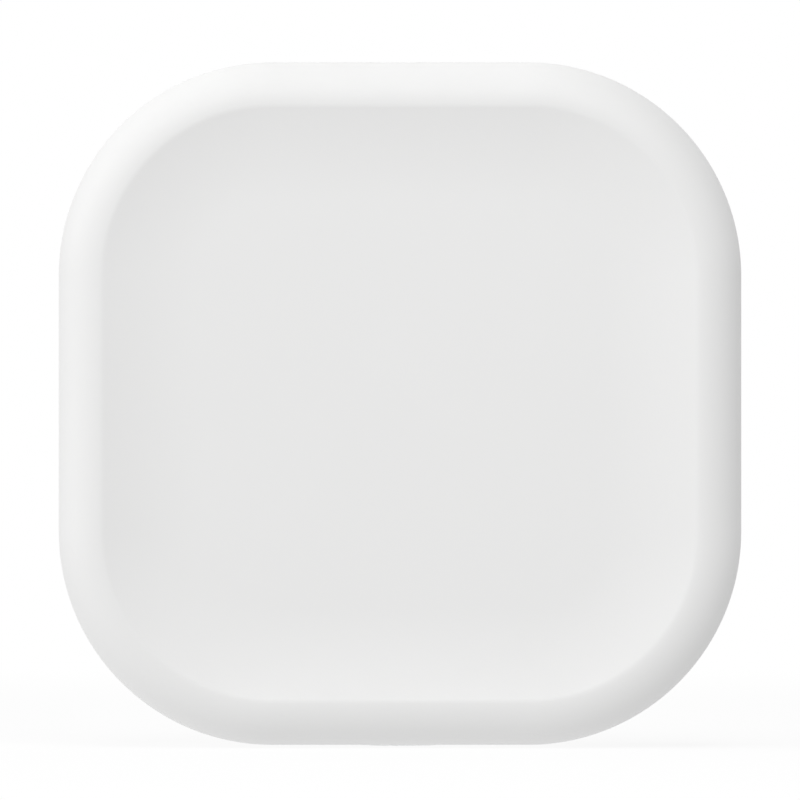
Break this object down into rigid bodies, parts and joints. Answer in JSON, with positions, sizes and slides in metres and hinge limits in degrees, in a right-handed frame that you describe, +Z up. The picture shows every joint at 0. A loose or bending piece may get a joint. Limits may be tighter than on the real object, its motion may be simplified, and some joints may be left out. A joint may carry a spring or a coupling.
{
  "type": "zigbee range extender",
  "caption": "Plug-in zigbee range extender: a rounded-square white case with a shallow dished front, a flush pairing button in its bottom wall and a two-blade mains plug on its back.",
  "frame": {"origin": "centre of the case's back face, on the plane of the wall outlet, midway between the two plug blades", "axes": "+Z up, +X to the right as the front is seen, +Y into the wall along the plug blades, so the front faces -Y"},
  "size_m": [0.065, 0.0472, 0.0651],
  "materials": {
    "housing_white": "fine satin moulding",
    "cover_white": "fine matte moulding",
    "button_milk": "translucent milky moulding",
    "nickel_brass": "nickel-plated stamping",
    "carrier_grey": "glass-filled moulding",
    "zinc_steel": "zinc plated",
    "board_green": "solder-masked laminate",
    "board_blue": "solder-masked laminate",
    "ferrite": "ground ferrite",
    "bobbin_black": "phenolic moulding",
    "tape_yellow": "polyester tape over copper",
    "can_sleeve": "sleeved can",
    "varistor_blue": "dipped coating",
    "film_yellow": "moulded box",
    "fuse_green": "lacquered barrel",
    "choke_black": "shrink-sleeved drum",
    "chip_black": "epoxy moulding",
    "header_black": "nylon moulding",
    "gold_pin": "gold-flashed pins",
    "tin_sheet": "tinned sheet",
    "copper_strip": "bare copper",
    "lamp_white": "lamp moulding",
    "switch_black": "nylon moulding",
    "plunger_white": "nylon moulding",
    "passive_tan": "sintered chip"
  },
  "bodies": {
    "case": {"front_shell": "housing_white", "back_cover": "cover_white", "blade_left": "nickel_brass", "blade_right": "nickel_brass", "blade_carrier": "carrier_grey", "power_board": "board_green", "transformer_core": "ferrite", "transformer_bobbin": "bobbin_black", "transformer_winding": "tape_yellow", "input_capacitor_1": "can_sleeve", "input_capacitor_2": "can_sleeve", "output_capacitor": "can_sleeve", "varistor": "varistor_blue", "safety_capacitor": "film_yellow", "fuse_resistor": "fuse_green", "filter_choke": "choke_black", "bridge_rectifier": "chip_black", "switching_controller": "chip_black", "output_diode": "chip_black", "header_base": "header_black", "header_pins": "gold_pin", "header_socket": "header_black", "radio_board": "board_green", "radio_module_board": "board_blue", "shield_can": "tin_sheet", "antenna": "copper_strip", "crystal": "tin_sheet", "voltage_regulator": "chip_black", "status_led": "lamp_white", "switch_housing": "switch_black", "switch_dome": "tin_sheet", "switch_terminals": "tin_sheet", "power_chip_parts": "passive_tan", "radio_chip_parts": "passive_tan", "power_screw_1": "zinc_steel", "power_screw_2": "zinc_steel", "power_screw_3": "zinc_steel", "carrier_screw_1": "zinc_steel", "carrier_screw_2": "zinc_steel", "radio_screw_1": "zinc_steel", "radio_screw_2": "zinc_steel"},
    "button": {"action_button": "button_milk"},
    "plunger": {"switch_plunger": "plunger_white"}
  },
  "joints": [
    {"name": "button_press", "type": "slide", "parent": "case", "child": "button", "axis": [0, 0, 1], "range_m": [0, 0.0003], "stiffness_N_per_m": 2000},
    {"name": "plunger_press", "type": "slide", "parent": "case", "child": "plunger", "axis": [0, 0, 1], "range_m": [0, 0.0003], "deforming": ["switch_dome"]}
  ],
  "couplings": [
    {"joint": "plunger_press", "follows": "button_press", "ratio": 1}
  ]
}
